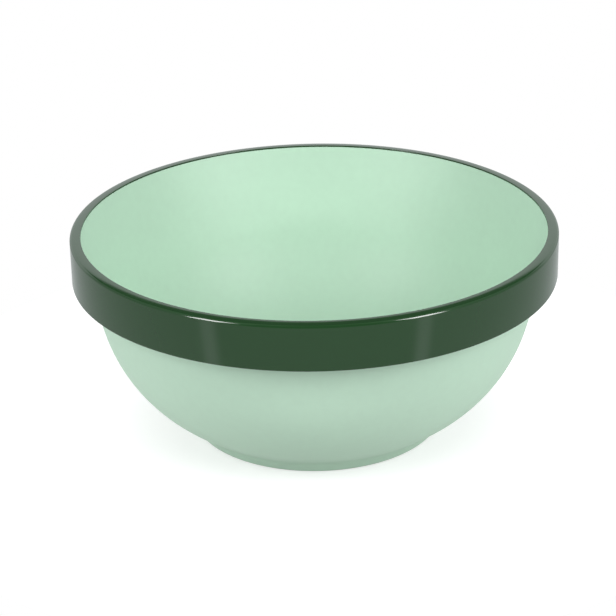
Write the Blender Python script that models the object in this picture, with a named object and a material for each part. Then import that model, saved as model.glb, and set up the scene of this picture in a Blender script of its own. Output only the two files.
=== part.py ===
"""Two-tone mixing bowl: a moulded bowl, a rim band moulded over its edge and a grip ring under its foot.

The bowl stands on z = 0 with its axis on +Z. Every piece is turned about that axis, in metres.
"""
from math import acos, atan2, cos, pi, radians, sin, sqrt

import bmesh
import bpy
from mathutils import Vector

# Overall sizes
OVERALL_DIAMETER = 0.250
OVERALL_HEIGHT = 0.1088

# Bowl
BOWL_WALL = 0.0035
WALL_LEAN = radians(14.5)
SIDE_CURVE_RADIUS = 0.0877
FLOOR_FLAT_RADIUS = 0.045
FLOOR_THICKNESS = 0.0038
FOOT_RADIUS = 0.0648
FOOT_HEIGHT = 0.0048
FOOT_WIDTH = 0.0085
FOOT_RECESS = 0.0022
FOOT_ROUNDING = 0.0006

# Rim band
BAND_HEIGHT = 0.0236
RIM_TOP_WIDTH = 0.0055
BAND_TOP_ROUNDING = 0.0020
BAND_EDGE_ROUNDING = 0.0006
LIP_EDGE = 0.0006
LIP_ROOT = 0.0026
BAND_SKIRT = 0.0026
BAND_LEG = 0.0022
BAND_CORE_DEPTH = 0.0095
BAND_CORE_ROOT = 0.0006

# Key that locks the band to the bowl's wall
KEY_DEPTH = 0.0010
KEY_HEIGHT = 0.0030
KEY_BELOW_RIM = 0.0095

# Grip ring
GRIP_WIDTH = 0.0040
GRIP_DEPTH = 0.0018
GRIP_STAND_OUT = 0.0004
GRIP_ROUNDING = 0.0004

# Gap between pieces that touch on the real bowl
CLEARANCE = 0.0003

# Turning and arc steps
TURN_STEPS = 64
ARC_STEP = radians(5.5)

# Colours as linear red, green and blue
MINT = (0.479, 0.680, 0.527)
DARK_GREEN = (0.036, 0.078, 0.042)
GREY_GREEN = (0.120, 0.160, 0.135)


def arc(centre, radius, start, end):
    """Points of a round stretch from one angle to another, both ends included."""
    steps = max(2, round(abs(end - start) / ARC_STEP))
    angles = [start + (end - start) * i / steps for i in range(steps + 1)]
    return [centre + radius * Vector((cos(a), sin(a))) for a in angles]


def rounded(corner, before, after, radius, steps=3):
    """A corner between two straight sides, cut to a round of the given radius."""
    to_before = (before - corner).normalized()
    to_after = (after - corner).normalized()
    half = acos(to_before.dot(to_after)) / 2
    centre = corner + (to_before + to_after).normalized() * radius / sin(half)
    start = corner + to_before * radius * cos(half) / sin(half)
    end = corner + to_after * radius * cos(half) / sin(half)
    first = atan2(start.y - centre.y, start.x - centre.x)
    turn = atan2(end.y - centre.y, end.x - centre.x) - first
    turn = (turn + pi) % (2 * pi) - pi
    return [centre + radius * Vector((cos(first + turn * i / steps), sin(first + turn * i / steps)))
            for i in range(steps + 1)]


# The leaning wall: DOWN runs down its face and OUT stands square to it
RIM_INNER = Vector((OVERALL_DIAMETER / 2 - RIM_TOP_WIDTH, OVERALL_HEIGHT))
DOWN = Vector((-sin(WALL_LEAN), -cos(WALL_LEAN)))
OUT = Vector((cos(WALL_LEAN), -sin(WALL_LEAN)))


def on_wall(height, outward):
    """The point at this height that stands outward of the wall's outer face."""
    start = RIM_INNER + OUT * (BOWL_WALL + outward)
    return start + DOWN * ((start.y - height) / cos(WALL_LEAN))


def key_points(gap):
    """Corners of the key, top to bottom: the wall's groove, or the band's bead in it with a gap."""
    middle = on_wall(OVERALL_HEIGHT - KEY_BELOW_RIM, 0.0)
    reach = DOWN * (KEY_HEIGHT / 2 - gap)
    draft = DOWN * (KEY_DEPTH / 2)
    sunk = OUT * (gap - KEY_DEPTH)
    face = OUT * gap
    top = middle - reach
    bottom = middle + reach
    return [top - draft + face, top + sunk, bottom + sunk, bottom + draft + face]


def side_curve():
    """Centre of the bowl's round side: it leaves the leaning wall smoothly and meets the top of the foot."""
    wall_top = RIM_INNER + OUT * BOWL_WALL
    foot_top = Vector((FOOT_RADIUS, FOOT_HEIGHT)) - wall_top
    inward = foot_top.dot(OUT) + SIDE_CURVE_RADIUS
    straight = foot_top.dot(DOWN) - sqrt(SIDE_CURVE_RADIUS ** 2 - inward ** 2)
    return wall_top - OUT * SIDE_CURVE_RADIUS + DOWN * straight


def inside_profile(centre):
    """The bowl's inner face, from the middle of its floor up to the rim."""
    inner_radius = SIDE_CURVE_RADIUS - BOWL_WALL
    floor = GRIP_STAND_OUT + FOOT_RECESS + FLOOR_THICKNESS
    reach = Vector((FLOOR_FLAT_RADIUS, floor)) - centre
    blend = (inner_radius ** 2 - reach.length_squared) / (2 * (inner_radius + reach.y))
    blend_centre = Vector((FLOOR_FLAT_RADIUS, floor + blend))
    toward = blend_centre - centre
    join = atan2(toward.y, toward.x)
    points = [Vector((0.0, floor))]
    points += arc(blend_centre, blend, -pi / 2, join)
    points += arc(centre, inner_radius, join, -WALL_LEAN)[1:]
    points.append(on_wall(OVERALL_HEIGHT - LIP_EDGE - CLEARANCE, -BOWL_WALL))
    return points


def outside_profile(centre):
    """The bowl's outer face, from the rim down past the key groove to the top of the foot."""
    points = [on_wall(OVERALL_HEIGHT - LIP_ROOT - CLEARANCE, 0.0)]
    points += key_points(gap=0.0)
    toward = Vector((FOOT_RADIUS, FOOT_HEIGHT)) - centre
    points += arc(centre, SIDE_CURVE_RADIUS, -WALL_LEAN, atan2(toward.y, toward.x))
    return points


def foot_profile():
    """The foot's side, its underside with the groove of the grip ring, and the recess up to the axis."""
    low = GRIP_STAND_OUT
    inner = FOOT_RADIUS - FOOT_WIDTH
    groove = FOOT_RADIUS - FOOT_WIDTH / 2
    half = GRIP_WIDTH / 2 + CLEARANCE
    ceiling = low + GRIP_DEPTH + CLEARANCE
    recess = low + FOOT_RECESS
    outer_corner = Vector((FOOT_RADIUS, low))
    inner_corner = Vector((inner, low))
    points = rounded(outer_corner, Vector((FOOT_RADIUS, FOOT_HEIGHT)), inner_corner, FOOT_ROUNDING)
    points += [Vector((groove + half, low)), Vector((groove + half, ceiling))]
    points += [Vector((groove - half, ceiling)), Vector((groove - half, low))]
    points += rounded(inner_corner, outer_corner, Vector((inner, recess)), FOOT_ROUNDING)
    points += [Vector((inner, recess)), Vector((0.0, recess))]
    return points


def band_profile():
    """The band's section: a lip over the rim, a skirt outside and a keyed leg, cored between them."""
    radius = OVERALL_DIAMETER / 2
    low = OVERALL_HEIGHT - BAND_HEIGHT
    leg_foot = on_wall(low, CLEARANCE)
    leg_outer = Vector((leg_foot.x + BAND_LEG, low))
    skirt_inner = Vector((radius - BAND_SKIRT, low))
    root_outer = Vector((radius - BAND_SKIRT, low + BAND_CORE_DEPTH))
    root_inner = Vector((root_outer.x - BAND_CORE_ROOT, root_outer.y))
    top_corner = Vector((radius, OVERALL_HEIGHT))
    low_corner = Vector((radius, low))
    points = [RIM_INNER]
    points += rounded(top_corner, RIM_INNER, low_corner, BAND_TOP_ROUNDING, steps=4)
    points += rounded(low_corner, top_corner, skirt_inner, BAND_EDGE_ROUNDING)
    points += rounded(skirt_inner, low_corner, root_outer, BAND_EDGE_ROUNDING)
    points += [root_outer, root_inner]
    points += rounded(leg_outer, root_inner, leg_foot, BAND_EDGE_ROUNDING)
    points.append(leg_foot)
    points += reversed(key_points(gap=CLEARANCE))
    points.append(on_wall(OVERALL_HEIGHT - LIP_ROOT, CLEARANCE))
    points.append(on_wall(OVERALL_HEIGHT - LIP_EDGE, -BOWL_WALL))
    return points


def grip_profile():
    """The grip ring's section: a plain bar with its two lower edges rounded."""
    middle = FOOT_RADIUS - FOOT_WIDTH / 2
    inner = middle - GRIP_WIDTH / 2
    outer = middle + GRIP_WIDTH / 2
    top = GRIP_STAND_OUT + GRIP_DEPTH
    outer_top = Vector((outer, top))
    outer_low = Vector((outer, 0.0))
    inner_low = Vector((inner, 0.0))
    inner_top = Vector((inner, top))
    points = [inner_top, outer_top]
    points += rounded(outer_low, outer_top, inner_low, GRIP_ROUNDING)
    points += rounded(inner_low, outer_low, inner_top, GRIP_ROUNDING)
    return points


def finish(name, colour, roughness):
    """A material for one piece."""
    material = bpy.data.materials.new(name)
    material.use_nodes = True
    shader = material.node_tree.nodes["Principled BSDF"]
    shader.inputs["Base Color"].default_value = (*colour, 1.0)
    shader.inputs["Roughness"].default_value = roughness
    shader.inputs["Metallic"].default_value = 0.0
    return material


def turned(name, profile, material, closed):
    """One piece, its section turned a full round about the axis. A closed section makes a ring."""
    shape = bmesh.new()
    corners = [shape.verts.new((point.x, 0.0, point.y)) for point in profile]
    sides = [shape.edges.new(pair) for pair in zip(corners, corners[1:])]
    if closed:
        sides.append(shape.edges.new((corners[-1], corners[0])))
    bmesh.ops.spin(shape, geom=corners + sides, cent=(0, 0, 0), axis=(0, 0, 1), angle=2 * pi,
                   steps=TURN_STEPS, use_merge=True)
    bmesh.ops.remove_doubles(shape, verts=shape.verts, dist=1e-6)
    bmesh.ops.recalc_face_normals(shape, faces=shape.faces)
    mesh = bpy.data.meshes.new(name)
    shape.to_mesh(mesh)
    shape.free()
    mesh.materials.append(material)
    mesh.shade_smooth()
    mesh.set_sharp_from_angle(angle=radians(30))
    piece = bpy.data.objects.new(name, mesh)
    bpy.context.scene.collection.objects.link(piece)


def main():
    """Builds the bowl, its band and its grip ring."""
    for thing in list(bpy.data.objects):
        bpy.data.objects.remove(thing)
    centre = side_curve()
    bowl = inside_profile(centre) + outside_profile(centre) + foot_profile()
    turned("bowl_body", bowl, finish("mint_melamine", MINT, 0.28), closed=False)
    turned("rim_band", band_profile(), finish("dark_green_melamine", DARK_GREEN, 0.14), closed=True)
    turned("foot_grip_ring", grip_profile(), finish("grip_elastomer", GREY_GREEN, 0.75), closed=True)


main()
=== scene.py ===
"""Looks of the two-tone mixing bowl: turned pieces with rounded edges, moulded finishes, studio and camera.

Lengths are metres in the bowl's own frame: it stands on z = 0 with its axis on +Z.
"""
from math import acos, atan2, cos, pi, radians, sin, sqrt, tan

import bpy
from bpy.props import FloatProperty, FloatVectorProperty, PointerProperty
from mathutils import Matrix, Vector


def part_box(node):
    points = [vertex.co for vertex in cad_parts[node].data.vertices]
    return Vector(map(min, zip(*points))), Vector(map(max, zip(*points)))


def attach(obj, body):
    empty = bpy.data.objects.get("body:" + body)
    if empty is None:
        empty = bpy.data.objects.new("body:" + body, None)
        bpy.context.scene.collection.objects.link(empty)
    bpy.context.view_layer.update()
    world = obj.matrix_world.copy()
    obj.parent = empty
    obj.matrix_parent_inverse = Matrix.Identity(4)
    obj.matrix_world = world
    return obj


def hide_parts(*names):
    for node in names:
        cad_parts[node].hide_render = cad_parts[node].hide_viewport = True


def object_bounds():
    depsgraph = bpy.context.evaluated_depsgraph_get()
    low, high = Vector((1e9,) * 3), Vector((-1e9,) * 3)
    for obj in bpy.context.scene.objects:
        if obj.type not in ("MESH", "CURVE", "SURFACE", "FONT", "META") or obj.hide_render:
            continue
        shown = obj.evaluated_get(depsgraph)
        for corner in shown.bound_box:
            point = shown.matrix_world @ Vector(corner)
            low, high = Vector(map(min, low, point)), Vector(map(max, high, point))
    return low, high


bl_info = {
    "name": "Two-tone mixing bowl",
    "version": (1, 0, 0),
    "blender": (4, 5, 0),
    "location": "3D View > Sidebar > Bowl",
    "description": "Turns a melamine mixing bowl, its rim band and its grip ring, and sets a studio",
    "category": "Add Mesh",
}

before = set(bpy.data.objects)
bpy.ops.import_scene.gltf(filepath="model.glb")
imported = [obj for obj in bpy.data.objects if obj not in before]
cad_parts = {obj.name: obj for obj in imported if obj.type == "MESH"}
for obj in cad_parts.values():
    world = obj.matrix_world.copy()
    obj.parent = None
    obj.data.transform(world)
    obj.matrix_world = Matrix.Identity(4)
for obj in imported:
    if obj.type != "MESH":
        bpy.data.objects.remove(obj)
CAD_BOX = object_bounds()
BOWL_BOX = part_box("bowl_body")
BAND_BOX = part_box("rim_band")
GRIP_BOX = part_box("foot_grip_ring")

# Turning: size of the plane that is merged to a section's first point, steps round the axis, and the angle
# between points on a round stretch of a section, with the fewest steps that it has
SEED_SIZE = 0.01
TURN_STEPS = 256
ARC_STEP = radians(2.0)
ARC_FEWEST = 3

# Steps on a small rounded edge, finer on the rim's inner edge so that no wide glint lies along it
EDGE_STEPS = 6
RIM_EDGE_STEPS = 24

# Weld distance, and the angle over which an edge stays sharp
WELD = 1e-6
SMOOTH_ANGLE = radians(40)

# Camera, as fitted to the edges of the bowl in the photograph
LENS_MM = 126.0
SENSOR_MM = 36.0
CAMERA_DISTANCE = 1.125
CAMERA_ELEVATION = radians(24.03)
CAMERA_ROLL = radians(-1.15)
CAMERA_AIM = Vector((-0.0039, 0.0, 0.0620))


def linear(hex_colour):
    """An sRGB hex colour as linear red, green, blue and alpha."""
    channels = [int(hex_colour[i:i + 2], 16) / 255 for i in (1, 3, 5)]
    return [c / 12.92 if c <= 0.04045 else ((c + 0.055) / 1.055) ** 2.4 for c in channels] + [1.0]


def length(name, default, description):
    """A length that a user can change."""
    return FloatProperty(name=name, description=description, default=default, min=0.0, unit="LENGTH",
                         precision=5)


def angle(name, degrees, description):
    """An angle that a user can change."""
    return FloatProperty(name=name, description=description, default=radians(degrees), subtype="ANGLE")


def colour(name, hex_colour, description):
    """A colour that a user can change."""
    return FloatVectorProperty(name=name, description=description, default=linear(hex_colour), size=4,
                               min=0.0, max=1.0, subtype="COLOR")


class BowlSizes(bpy.types.PropertyGroup):
    """Sizes of the bowl's own moulding"""
    wall: length("Wall", 0.0035, "Thickness of the bowl's wall")
    lean: angle("Wall lean", 14.6, "Lean of the upper wall from upright")
    side_radius: length("Side curve", 0.0837, "Outer radius of the round side under the leaning wall")
    floor_flat: length("Flat floor", 0.045, "Radius of the flat middle of the floor inside")
    floor: length("Floor", 0.0038, "Thickness of the floor over the recess")
    foot_radius: length("Foot", 0.0648, "Outer radius of the foot")
    foot_height: length("Foot height", 0.00746, "Height where the side would meet the foot without a fillet")
    foot_draft: angle("Foot draft", 28, "Lean of the foot's side from upright")
    foot_width: length("Foot width", 0.0085, "Width of the foot's ring")
    foot_recess: length("Foot recess", 0.0022, "Height of the recess inside the foot")
    foot_edge: length("Foot edge", 0.0006, "Rounding of the foot's lower edges")
    foot_fillet: length("Foot fillet", 0.016, "Fillet where the side meets the foot")


class BandSizes(bpy.types.PropertyGroup):
    """Sizes of the band moulded over the rim"""
    radius: length("Radius", BAND_BOX[1].x, "Outer radius of the band")
    top: length("Top", BAND_BOX[1].z, "Height of the rim over the resting plane")
    bottom: length("Bottom", BAND_BOX[0].z, "Height of the band's lower edge")
    rim_width: length("Rim width", 0.0055, "Width of the rim from its inner edge to the band's outside")
    crown: length("Crown", 0.0220, "Radius of the gentle crown on the rim's top")
    crown_turn: angle("Crown turn", 9, "Slope at which the crown runs into the outer edge")
    outer_edge: length("Outer edge", 0.0016, "Rounding of the rim's outer edge")
    inner_edge: length("Inner edge", 0.00012, "Rounding of the rim's inner edge")
    lower_edge: length("Lower edge", 0.00025, "Rounding of the band's lower edges")
    lip_edge: length("Lip edge", 0.0006, "Thickness of the lip at its inner edge")
    lip_root: length("Lip root", 0.0026, "Thickness of the lip over the wall's outer face")
    skirt: length("Skirt", 0.0026, "Thickness of the band's outer skirt")
    leg: length("Leg", 0.0022, "Thickness of the band's inner leg at its foot")
    core_depth: length("Core depth", 0.0095, "Depth of the hollow between skirt and leg")
    core_root: length("Core root", 0.0006, "Width of that hollow at its top")
    key_depth: length("Key depth", 0.0010, "Depth of the key groove in the wall")
    key_height: length("Key height", 0.0030, "Height of the key groove")
    key_below: length("Key below rim", 0.0095, "Distance of the key groove below the rim")
    gap: length("Gap", 0.0001, "Fine parting gap that shows between the pieces")


class GripSizes(bpy.types.PropertyGroup):
    """Sizes of the grip ring under the foot"""
    width: length("Width", 0.0040, "Width of the grip ring")
    edge: length("Edge", 0.0004, "Rounding of its lower edges")
    rib_depth: length("Rib depth", 0.00025, "Depth of the grooves between its ribs")


class BowlColours(bpy.types.PropertyGroup):
    """Colours of the three mouldings"""
    mint: colour("Mint", "#B8D6C0", "Pale mint of the bowl")
    dark_green: colour("Dark green", "#1C3F1E", "Dark bottle green of the band")
    grip: colour("Grip", "#626E66", "Grey green of the grip ring")


def arc(centre, radius, start, end):
    """Points of a round stretch of a section, both ends included."""
    steps = max(ARC_FEWEST, round(abs(end - start) / ARC_STEP))
    angles = [start + (end - start) * i / steps for i in range(steps + 1)]
    return [centre + radius * Vector((cos(a), sin(a))) for a in angles]


def rounded(corner, before, after, radius, steps=EDGE_STEPS):
    """A corner between two straight sides of a section, cut to a round of the given radius."""
    to_before = (before - corner).normalized()
    to_after = (after - corner).normalized()
    half = acos(to_before.dot(to_after)) / 2
    reach = radius * cos(half) / sin(half)
    centre = corner + (to_before + to_after).normalized() * radius / sin(half)
    start = corner + to_before * reach - centre
    end = corner + to_after * reach - centre
    first = atan2(start.y, start.x)
    turn = (atan2(end.y, end.x) - first + pi) % (2 * pi) - pi
    angles = [first + turn * i / steps for i in range(steps + 1)]
    return [centre + radius * Vector((cos(a), sin(a))) for a in angles]


class WallSection:
    """The bowl's wall in section: a leaning upper wall, which the band sits on, a round side and a foot."""

    def __init__(self, bowl, band):
        self.bowl = bowl
        self.band = band
        self.rim_inner = Vector((band.radius - band.rim_width, band.top))
        self.down = Vector((-sin(bowl.lean), -cos(bowl.lean)))
        self.out = Vector((cos(bowl.lean), -sin(bowl.lean)))

    def point(self, height, outward):
        """The point at this height that stands outward of the upper wall's outer face."""
        start = self.rim_inner + self.out * (self.bowl.wall + outward)
        return start + self.down * ((start.y - height) / cos(self.bowl.lean))

    def key(self, gap):
        """Corners of the key, top to bottom: the wall's groove, or the band's bead in it with a gap."""
        middle = self.point(self.band.top - self.band.key_below, 0.0)
        reach = self.down * (self.band.key_height / 2 - gap)
        draft = self.down * (self.band.key_depth / 2)
        sunk = self.out * (gap - self.band.key_depth)
        face = self.out * gap
        top = middle - reach
        bottom = middle + reach
        return [top - draft + face, top + sunk, bottom + sunk, bottom + draft + face]

    def foot_top(self):
        """The point where the round side and the foot's side would meet without a fillet."""
        spread = (self.bowl.foot_height - BOWL_BOX[0].z) * tan(self.bowl.foot_draft)
        return Vector((self.bowl.foot_radius + spread, self.bowl.foot_height))

    def side_centre(self):
        """Centre of the round side, which leaves the upper wall smoothly and runs to the top of the foot."""
        radius = self.bowl.side_radius
        wall_top = self.rim_inner + self.out * self.bowl.wall
        foot_top = self.foot_top() - wall_top
        inward = foot_top.dot(self.out) + radius
        straight = foot_top.dot(self.down) - sqrt(radius ** 2 - inward ** 2)
        return wall_top - self.out * radius + self.down * straight

    def fillet_centre(self):
        """Centre of the fillet that touches both the round side and the foot's drafted side."""
        side = self.side_centre()
        draft = self.bowl.foot_draft
        up = Vector((sin(draft), cos(draft)))
        out = Vector((cos(draft), -sin(draft)))
        start = Vector((self.bowl.foot_radius, BOWL_BOX[0].z)) + out * self.bowl.foot_fillet - side
        along = start.dot(up)
        reach = self.bowl.side_radius + self.bowl.foot_fillet
        return side + start - up * (along + sqrt(along ** 2 - start.length_squared + reach ** 2))


def inside_section(bowl, band, wall):
    """The bowl's inner face, from the middle of its floor up to the rim."""
    centre = wall.side_centre()
    radius = bowl.side_radius - bowl.wall
    floor = BOWL_BOX[0].z + bowl.foot_recess + bowl.floor
    reach = Vector((bowl.floor_flat, floor)) - centre
    blend = (radius ** 2 - reach.length_squared) / (2 * (radius + reach.y))
    blend_centre = Vector((bowl.floor_flat, floor + blend))
    toward = blend_centre - centre
    join = atan2(toward.y, toward.x)
    points = [Vector((0.0, floor))]
    points += arc(blend_centre, blend, -pi / 2, join)
    points += arc(centre, radius, join, -bowl.lean)[1:]
    points.append(wall.point(band.top - band.lip_edge - band.gap, -bowl.wall))
    return points


def outside_section(bowl, band, wall):
    """The bowl's outer face, from the rim past the key groove and the round side to the foot's side."""
    centre = wall.side_centre()
    fillet = wall.fillet_centre()
    toward = fillet - centre
    join = atan2(toward.y, toward.x)
    points = [wall.point(band.top - band.lip_root - band.gap, 0.0)]
    points += wall.key(gap=0.0)
    points += arc(centre, bowl.side_radius, -bowl.lean, join)
    points += arc(fillet, bowl.foot_fillet, join + pi, pi - bowl.foot_draft)[1:]
    return points


def foot_section(bowl, grip, wall):
    """The foot's side, its underside with the groove of the grip ring, and the recess up to the axis."""
    low = BOWL_BOX[0].z
    inner = bowl.foot_radius - bowl.foot_width
    groove = bowl.foot_radius - bowl.foot_width / 2
    half = grip.width / 2
    ceiling = GRIP_BOX[1].z
    recess = low + bowl.foot_recess
    outer_corner = Vector((bowl.foot_radius, low))
    inner_corner = Vector((inner, low))
    recess_corner = Vector((inner, recess))
    recess_middle = Vector((0.0, recess))
    points = rounded(outer_corner, wall.foot_top(), inner_corner, bowl.foot_edge)
    points += [Vector((groove + half, low)), Vector((groove + half, ceiling))]
    points += [Vector((groove - half, ceiling)), Vector((groove - half, low))]
    points += rounded(inner_corner, outer_corner, recess_corner, bowl.foot_edge)
    points += rounded(recess_corner, inner_corner, recess_middle, bowl.foot_edge)
    points.append(recess_middle)
    return points


def band_section(bowl, band, wall):
    """The band's section: a crowned lip over the rim, an outer skirt and a keyed leg, cored between them."""
    leg_foot = wall.point(band.bottom, band.gap)
    leg_outer = Vector((leg_foot.x + band.leg, band.bottom))
    skirt_inner = Vector((band.radius - band.skirt, band.bottom))
    root_outer = Vector((band.radius - band.skirt, band.bottom + band.core_depth))
    root_inner = Vector((root_outer.x - band.core_root, root_outer.y))
    side_low = Vector((band.radius, band.bottom))
    lip_low = wall.point(band.top - band.lip_edge, -bowl.wall)
    slope = Vector((sin(band.crown_turn), cos(band.crown_turn)))
    shoulder = Vector((band.radius - band.outer_edge * (1 - slope.x), band.top - band.crown * (1 - slope.y)))
    crown = arc(shoulder - slope * band.crown, band.crown, pi / 2, pi / 2 - band.crown_turn)
    outer_edge = arc(shoulder - slope * band.outer_edge, band.outer_edge, pi / 2 - band.crown_turn, 0.0)
    points = rounded(wall.rim_inner, lip_low, crown[0], band.inner_edge, steps=RIM_EDGE_STEPS)
    points += crown + outer_edge[1:]
    points += rounded(side_low, outer_edge[-1], skirt_inner, band.lower_edge)
    points += rounded(skirt_inner, side_low, root_outer, band.lower_edge)
    points += [root_outer, root_inner]
    points += rounded(leg_outer, root_inner, leg_foot, band.lower_edge)
    points.append(leg_foot)
    points += reversed(wall.key(gap=band.gap))
    points.append(wall.point(band.top - band.lip_root, band.gap))
    points.append(lip_low)
    return points + points[:1]


def grip_section(bowl, grip):
    """The grip ring's section: a bar with rounded lower edges and shallow grooves between its ribs."""
    middle = bowl.foot_radius - bowl.foot_width / 2
    inner = middle - grip.width / 2
    outer = middle + grip.width / 2
    top = GRIP_BOX[1].z
    low = GRIP_BOX[0].z
    outer_top = Vector((outer, top))
    inner_top = Vector((inner, top))
    outer_low = Vector((outer, low))
    inner_low = Vector((inner, low))
    points = [inner_top, outer_top]
    points += rounded(outer_low, outer_top, inner_low, grip.edge)
    groove = grip.rib_depth
    for place in (middle + grip.width / 6, middle - grip.width / 6):
        points += [Vector((place + groove, low)), Vector((place, low + groove))]
        points.append(Vector((place - groove, low)))
    points += rounded(inner_low, outer_low, inner_top, grip.edge)
    return points + points[:1]


def turn(name, section):
    """Draws a section point by point in the XZ plane, spins it a full round and welds it into one skin."""
    bpy.ops.object.select_all(action="DESELECT")
    bpy.ops.mesh.primitive_plane_add(size=SEED_SIZE, location=(0.0, 0.0, 0.0))
    piece = bpy.context.object
    piece.name = name
    piece.data.name = name
    bpy.ops.object.mode_set(mode="EDIT")
    bpy.ops.mesh.select_all(action="SELECT")
    bpy.ops.mesh.merge(type="CENTER")
    corners = [Vector((point.x, 0.0, point.y)) for point in section]
    bpy.ops.transform.translate(value=corners[0])
    for here, there in zip(corners, corners[1:]):
        bpy.ops.mesh.extrude_region_move(TRANSFORM_OT_translate={"value": there - here})
    bpy.ops.mesh.select_all(action="SELECT")
    bpy.ops.mesh.spin(steps=TURN_STEPS, angle=2 * pi, center=(0.0, 0.0, 0.0), axis=(0.0, 0.0, 1.0))
    bpy.ops.mesh.select_all(action="SELECT")
    bpy.ops.mesh.remove_doubles(threshold=WELD)
    bpy.ops.mesh.normals_make_consistent(inside=False)
    bpy.ops.object.mode_set(mode="OBJECT")
    bpy.ops.object.shade_smooth_by_angle(angle=SMOOTH_ANGLE)
    return piece


def node(tree, kind, inputs=None, **settings):
    """Adds a node with its settings; an input is a value or the socket that feeds it."""
    made = tree.nodes.new(kind)
    for key, value in settings.items():
        setattr(made, key, value)
    for key, value in (inputs or {}).items():
        if isinstance(value, bpy.types.NodeSocket):
            tree.links.new(value, made.inputs[key])
        else:
            made.inputs[key].default_value = value
    return made


def new_material(name):
    """A material with an empty node tree, and that tree."""
    material = bpy.data.materials.new(name)
    material.use_nodes = True
    material.node_tree.nodes.clear()
    return material, material.node_tree


# Melamine: index of refraction, spacing of its patterns in millimetres, span of the flow pattern and the
# shades that it gives, height of the ripple, and roughness from a satin mould and from a polished one
MELAMINE_IOR = 1.6
CLOUD_MM = 30
MOTTLE_MM = 4
FLOW_SPAN = (0.6, 1.4)
FLOW_SHADE = (0.98, 1.02)
RIPPLE_MM = 6
RIPPLE_HEIGHT = 0.00002
RIPPLE_STRENGTH = 0.2
SATIN = (0.52, 0.58)
POLISHED = (0.08, 0.12)

# Elastomer: the same for its grain, its dust and its matt skin
ELASTOMER_IOR = 1.48
GRAIN_MM = 0.4
GRAIN_HEIGHT = 0.00004
GRAIN_STRENGTH = 0.4
DUST_MM = 9
DUST_SPAN = (0.3, 0.7)
DUST_SHADE = (0.9, 1.15)
MATT = (0.62, 0.82)


def per_metre(millimetres):
    """The scale of a pattern whose features are this far apart."""
    return 1000.0 / millimetres


def moulded_melamine(name, base, roughness):
    """Compression-moulded melamine: coloured through, with a faint cloudiness where the powder flowed, a
    gloss that varies a little with it and a slow ripple left by the polished mould."""
    material, tree = new_material(name)
    place = node(tree, "ShaderNodeTexCoord").outputs["Object"]
    cloud = node(tree, "ShaderNodeTexNoise", {
        "Vector": place, "Scale": per_metre(CLOUD_MM), "Detail": 2.0})
    mottle = node(tree, "ShaderNodeTexNoise", {
        "Vector": place, "Scale": per_metre(MOTTLE_MM), "Detail": 1.0})
    ripple = node(tree, "ShaderNodeTexNoise", {
        "Vector": place, "Scale": per_metre(RIPPLE_MM), "Detail": 1.0})
    flow = node(tree, "ShaderNodeMath", {0: cloud.outputs["Fac"], 1: mottle.outputs["Fac"]}, operation="ADD")
    shade = node(tree, "ShaderNodeMapRange", {
        "Value": flow.outputs[0], "From Min": FLOW_SPAN[0], "From Max": FLOW_SPAN[1],
        "To Min": FLOW_SHADE[0], "To Max": FLOW_SHADE[1]})
    body = node(tree, "ShaderNodeMix", {"Factor": 1.0, "A": base, "B": shade.outputs["Result"]},
                data_type="RGBA", blend_type="MULTIPLY")
    gloss = node(tree, "ShaderNodeMapRange", {
        "Value": flow.outputs[0], "From Min": FLOW_SPAN[0], "From Max": FLOW_SPAN[1],
        "To Min": roughness[0], "To Max": roughness[1]})
    wave = node(tree, "ShaderNodeBump", {
        "Height": ripple.outputs["Fac"], "Strength": RIPPLE_STRENGTH, "Distance": RIPPLE_HEIGHT})
    shader = node(tree, "ShaderNodeBsdfPrincipled", {
        "Base Color": body.outputs[2], "Roughness": gloss.outputs["Result"],
        "Normal": wave.outputs["Normal"], "IOR": MELAMINE_IOR})
    node(tree, "ShaderNodeOutputMaterial", {"Surface": shader.outputs["BSDF"]})
    return material


def moulded_elastomer(name, base):
    """Soft thermoplastic elastomer: matt, slightly dusty, with the fine grain of a spark-eroded mould."""
    material, tree = new_material(name)
    place = node(tree, "ShaderNodeTexCoord").outputs["Object"]
    grain = node(tree, "ShaderNodeTexNoise", {
        "Vector": place, "Scale": per_metre(GRAIN_MM), "Detail": 3.0})
    dust = node(tree, "ShaderNodeTexNoise", {
        "Vector": place, "Scale": per_metre(DUST_MM), "Detail": 4.0})
    shade = node(tree, "ShaderNodeMapRange", {
        "Value": dust.outputs["Fac"], "From Min": DUST_SPAN[0], "From Max": DUST_SPAN[1],
        "To Min": DUST_SHADE[0], "To Max": DUST_SHADE[1]})
    body = node(tree, "ShaderNodeMix", {"Factor": 1.0, "A": base, "B": shade.outputs["Result"]},
                data_type="RGBA", blend_type="MULTIPLY")
    gloss = node(tree, "ShaderNodeMapRange", {
        "Value": dust.outputs["Fac"], "To Min": MATT[0], "To Max": MATT[1]})
    skin = node(tree, "ShaderNodeBump", {
        "Height": grain.outputs["Fac"], "Strength": GRAIN_STRENGTH, "Distance": GRAIN_HEIGHT})
    shader = node(tree, "ShaderNodeBsdfPrincipled", {
        "Base Color": body.outputs[2], "Roughness": gloss.outputs["Result"],
        "Normal": skin.outputs["Normal"], "IOR": ELASTOMER_IOR})
    node(tree, "ShaderNodeOutputMaterial", {"Surface": shader.outputs["BSDF"]})
    return material


def seat(piece, material, cad_node):
    """Gives a finished piece its material and its place in the frame."""
    piece.data.materials.clear()
    piece.data.materials.append(material)
    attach(piece, "root")
    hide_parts(cad_node)


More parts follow.
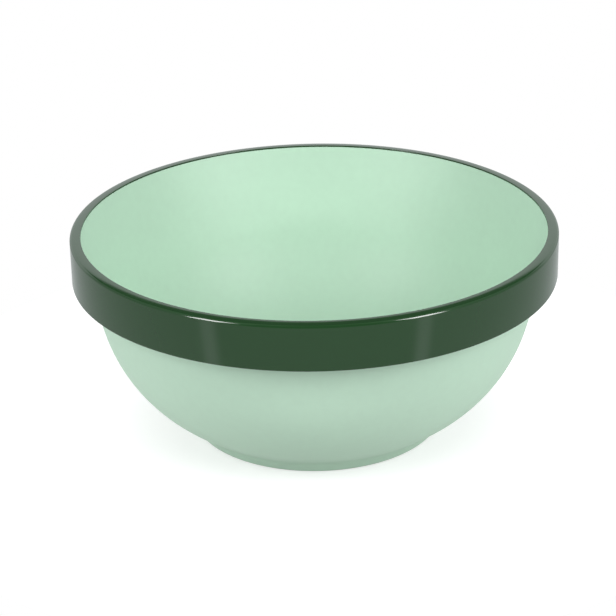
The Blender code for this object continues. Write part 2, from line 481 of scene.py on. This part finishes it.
class BowlBodyOperator(bpy.types.Operator):
    """Turns the mint bowl with its foot"""
    bl_idname = "mesh.mixing_bowl_body"
    bl_label = "Bowl body"

    def execute(self, context):
        scene = context.scene
        wall = WallSection(scene.bowl_sizes, scene.band_sizes)
        section = inside_section(scene.bowl_sizes, scene.band_sizes, wall)
        section += outside_section(scene.bowl_sizes, scene.band_sizes, wall)
        section += foot_section(scene.bowl_sizes, scene.grip_sizes, wall)
        piece = turn("mint_bowl", section)
        finish = moulded_melamine("mint_melamine_satin", scene.bowl_colours.mint, SATIN)
        seat(piece, finish, "bowl_body")
        return {"FINISHED"}


class RimBandOperator(bpy.types.Operator):
    """Turns the dark green band over the rim"""
    bl_idname = "mesh.mixing_bowl_band"
    bl_label = "Rim band"

    def execute(self, context):
        scene = context.scene
        wall = WallSection(scene.bowl_sizes, scene.band_sizes)
        piece = turn("green_rim_band", band_section(scene.bowl_sizes, scene.band_sizes, wall))
        finish = moulded_melamine("dark_green_melamine_gloss", scene.bowl_colours.dark_green, POLISHED)
        seat(piece, finish, "rim_band")
        return {"FINISHED"}


class GripRingOperator(bpy.types.Operator):
    """Turns the grip ring under the foot"""
    bl_idname = "mesh.mixing_bowl_grip"
    bl_label = "Grip ring"

    def execute(self, context):
        scene = context.scene
        piece = turn("foot_grip", grip_section(scene.bowl_sizes, scene.grip_sizes))
        finish = moulded_elastomer("grip_elastomer_matt", scene.bowl_colours.grip)
        seat(piece, finish, "foot_grip_ring")
        return {"FINISHED"}


# Table top: its size and white, its glow to the view, and the painted shade where the bowl stands close over
# it
FLOOR_RADIUS = 0.23
FLOOR_SIDES = 128
FLOOR_WHITE = linear("#C7C7C7")
FLOOR_GLOW = 0.75
CONTACT_REACH = 0.035
CONTACT_SHADE = 0.6
CONTACT_SAMPLES = 8

# Studio round the bowl, as levels and half angles: a white backdrop behind it in a dim room, and a wide
# table on which the softboxes shine as two strips
PURE_WHITE = linear("#FFFFFF")
STUDIO_WHITE = linear("#F9FFFF")
BACKDROP = 1.0
BACKDROP_TOP = radians(29)
BACKDROP_HALF = radians(55)
TABLE_FRONT = 0.52
TABLE_SIDES = 0.59
TABLE_HALF = radians(47.5)
TABLE_SHINE = 1.0
SHINE_WIDTH = radians(7)
ROOM_OVER = 0.1
ROOM_FRONT = 0.1
ROOM_SIDES = 0.4
CAMERA_SIDE = radians(40)
EDGE_SOFT = 0.03

# Lamps: two tall softboxes at either side of the camera, and a wide top light
LAMP_DISTANCE = 1.7
LAMP_AZIMUTH = radians(50)
LAMP_ELEVATION = radians(29)
LAMP_SIZE = (0.45, 1.0)
LAMP_LEFT_WATTS = 17.5
LAMP_RIGHT_WATTS = 19.6
TOP_ELEVATION = radians(90)
TOP_SIZE = (1.2, 1.2)
TOP_WATTS = 4.3


def add_floor():
    """A round white table top: diffuse, so that it keeps the shadow, with a glow that only the view sees and
    that a painted shade dims where the bowl stands close over it."""
    bpy.ops.object.select_all(action="DESELECT")
    bpy.ops.mesh.primitive_circle_add(vertices=FLOOR_SIDES, radius=FLOOR_RADIUS, fill_type="NGON")
    floor = bpy.context.object
    floor.name = "floor"
    material, tree = new_material("white_table")
    path = node(tree, "ShaderNodeLightPath").outputs
    seen = node(tree, "ShaderNodeMath", {0: path["Is Camera Ray"], 1: path["Is Glossy Ray"]},
                operation="MAXIMUM")
    seen = node(tree, "ShaderNodeMath", {0: seen.outputs[0], 1: path["Is Transmission Ray"]},
                operation="MAXIMUM")
    # Painted shade: ambient occlusion dims the glow where the bowl stands close over the table
    painted_shade_ao = node(tree, "ShaderNodeAmbientOcclusion", {"Distance": CONTACT_REACH}, samples=CONTACT_SAMPLES)
    glow = node(tree, "ShaderNodeMapRange", {
        "Value": painted_shade_ao.outputs["AO"], "To Min": FLOOR_GLOW * CONTACT_SHADE, "To Max": FLOOR_GLOW})
    glow = node(tree, "ShaderNodeMath", {0: seen.outputs[0], 1: glow.outputs["Result"]},
                operation="MULTIPLY")
    matt = node(tree, "ShaderNodeBsdfDiffuse", {"Color": FLOOR_WHITE})
    shine = node(tree, "ShaderNodeEmission", {"Strength": glow.outputs[0]})
    both = node(tree, "ShaderNodeAddShader", {0: matt.outputs[0], 1: shine.outputs[0]})
    node(tree, "ShaderNodeOutputMaterial", {"Surface": both.outputs[0]})
    floor.data.materials.append(material)


def add_world():
    """White to the view; to the bowl, a backdrop behind it, a table below and a dim room elsewhere."""
    world = bpy.data.worlds.new("studio")
    bpy.context.scene.world = world
    world.use_nodes = True
    tree = world.node_tree
    tree.nodes.clear()
    camera_ray = node(tree, "ShaderNodeLightPath").outputs["Is Camera Ray"]
    ray = node(tree, "ShaderNodeTexCoord").outputs["Generated"]
    height = node(tree, "ShaderNodeSeparateXYZ", {"Vector": ray}).outputs["Z"]
    level = node(tree, "ShaderNodeVectorMath", {0: ray, 1: (1.0, 1.0, 0.0)}, operation="MULTIPLY")
    level = node(tree, "ShaderNodeVectorMath", {0: level.outputs[0]}, operation="NORMALIZE")
    behind = node(tree, "ShaderNodeVectorMath", {0: level.outputs[0], 1: (0.0, 1.0, 0.0)},
                  operation="DOT_PRODUCT").outputs["Value"]
    # Soft steps: what is measured, where it steps, and the levels before and after
    steps = {
        "room": (behind, -cos(CAMERA_SIDE), ROOM_FRONT, ROOM_SIDES),
        "cloth": (height, sin(BACKDROP_TOP), BACKDROP, ROOM_OVER),
        "shine": (behind, -cos(TABLE_HALF), TABLE_FRONT, TABLE_SHINE),
        "fade": (behind, -cos(TABLE_HALF + SHINE_WIDTH), 0.0, TABLE_SIDES - TABLE_SHINE),
        "back": (behind, cos(BACKDROP_HALF), 0.0, 1.0),
        "above": (height, 0.0, 0.0, 1.0),
    }
    soft = {}
    for name, (measured, edge, before, after) in steps.items():
        made = node(tree, "ShaderNodeMapRange", {
            "Value": measured, "From Min": edge - EDGE_SOFT, "From Max": edge + EDGE_SOFT,
            "To Min": before, "To Max": after}, interpolation_type="SMOOTHSTEP")
        soft[name] = made.outputs["Result"]
    table = node(tree, "ShaderNodeMath", {0: soft["shine"], 1: soft["fade"]}, operation="ADD")
    walls = node(tree, "ShaderNodeMix", {"Factor": soft["back"], "A": soft["room"], "B": soft["cloth"]})
    light = node(tree, "ShaderNodeMix", {
        "Factor": soft["above"], "A": table.outputs[0], "B": walls.outputs[0]})
    shown = node(tree, "ShaderNodeMath", {0: light.outputs[0], 1: camera_ray}, operation="MAXIMUM")
    tint = node(tree, "ShaderNodeMix", {"Factor": camera_ray, "A": STUDIO_WHITE, "B": PURE_WHITE},
                data_type="RGBA")
    sky = node(tree, "ShaderNodeBackground", {"Color": tint.outputs[2], "Strength": shown.outputs[0]})
    node(tree, "ShaderNodeOutputWorld", {"Surface": sky.outputs[0]})


def add_lamp(name, azimuth, elevation, size, watts):
    """A softbox turned to the bowl; azimuth is from the camera's side, to the right."""
    toward = Vector((sin(azimuth) * cos(elevation), -cos(azimuth) * cos(elevation), sin(elevation)))
    middle = Vector((0.0, 0.0, CAD_BOX[1].z / 2))
    turned = toward.to_track_quat("Z", "Y").to_euler()
    bpy.ops.object.light_add(type="AREA", location=middle + toward * LAMP_DISTANCE, rotation=turned)
    lamp = bpy.context.object
    lamp.name = name
    lamp.data.shape = "RECTANGLE"
    lamp.data.size, lamp.data.size_y = size
    lamp.data.energy = watts
    return lamp


def add_camera():
    """The camera that took the photograph, with its distance, its height and its slight roll."""
    back = Vector((0.0, -cos(CAMERA_ELEVATION), sin(CAMERA_ELEVATION)))
    level = Vector((1.0, 0.0, 0.0))
    upright = back.cross(level)
    right = level * cos(CAMERA_ROLL) + upright * sin(CAMERA_ROLL)
    up = upright * cos(CAMERA_ROLL) - level * sin(CAMERA_ROLL)
    bpy.ops.object.camera_add()
    camera = bpy.context.object
    camera.name = "camera"
    camera.data.lens = LENS_MM
    camera.data.sensor_width = SENSOR_MM
    axes = Matrix((right, up, back)).transposed().to_4x4()
    camera.matrix_world = Matrix.Translation(CAMERA_AIM + back * CAMERA_DISTANCE) @ axes
    bpy.context.scene.camera = camera


class StageOperator(bpy.types.Operator):
    """Sets the table, the light and the camera"""
    bl_idname = "scene.mixing_bowl_stage"
    bl_label = "Stage"

    def execute(self, context):
        add_floor()
        add_world()
        add_lamp("softbox_left", -LAMP_AZIMUTH, LAMP_ELEVATION, LAMP_SIZE, LAMP_LEFT_WATTS)
        add_lamp("softbox_right", LAMP_AZIMUTH, LAMP_ELEVATION, LAMP_SIZE, LAMP_RIGHT_WATTS)
        top_light = add_lamp("top_light", 0.0, TOP_ELEVATION, TOP_SIZE, TOP_WATTS)
        top_light.visible_glossy = False
        add_camera()
        context.scene.view_settings.view_transform = "Standard"
        return {"FINISHED"}


class MixingBowlPanel(bpy.types.Panel):
    """Lists the bowl's operators, sizes and colours"""
    bl_idname = "VIEW3D_PT_mixing_bowl"
    bl_label = "Mixing bowl"
    bl_space_type = "VIEW_3D"
    bl_region_type = "UI"
    bl_category = "Bowl"

    def draw(self, context):
        for operator in OPERATORS:
            self.layout.operator(operator.bl_idname)
        for group in GROUPS:
            box = self.layout.box()
            values = getattr(context.scene, group)
            for key in values.__annotations__:
                box.prop(values, key)


GROUPS = {
    "bowl_sizes": BowlSizes,
    "band_sizes": BandSizes,
    "grip_sizes": GripSizes,
    "bowl_colours": BowlColours,
}
OPERATORS = (BowlBodyOperator, RimBandOperator, GripRingOperator, StageOperator)
CLASSES = (*GROUPS.values(), *OPERATORS, MixingBowlPanel)


def register():
    """Registers the classes and hangs the sizes and colours on the scene."""
    for made in CLASSES:
        bpy.utils.register_class(made)
    for name, group in GROUPS.items():
        setattr(bpy.types.Scene, name, PointerProperty(type=group))


def unregister():
    """Takes the sizes and colours off the scene and the classes out of Blender."""
    for name in GROUPS:
        delattr(bpy.types.Scene, name)
    for made in reversed(CLASSES):
        bpy.utils.unregister_class(made)


def main():
    """Makes the bowl piece by piece, then its stage."""
    register()
    bpy.ops.mesh.mixing_bowl_body()
    bpy.ops.mesh.mixing_bowl_band()
    bpy.ops.mesh.mixing_bowl_grip()
    bpy.ops.scene.mixing_bowl_stage()


if __name__ == "__main__":
    main()
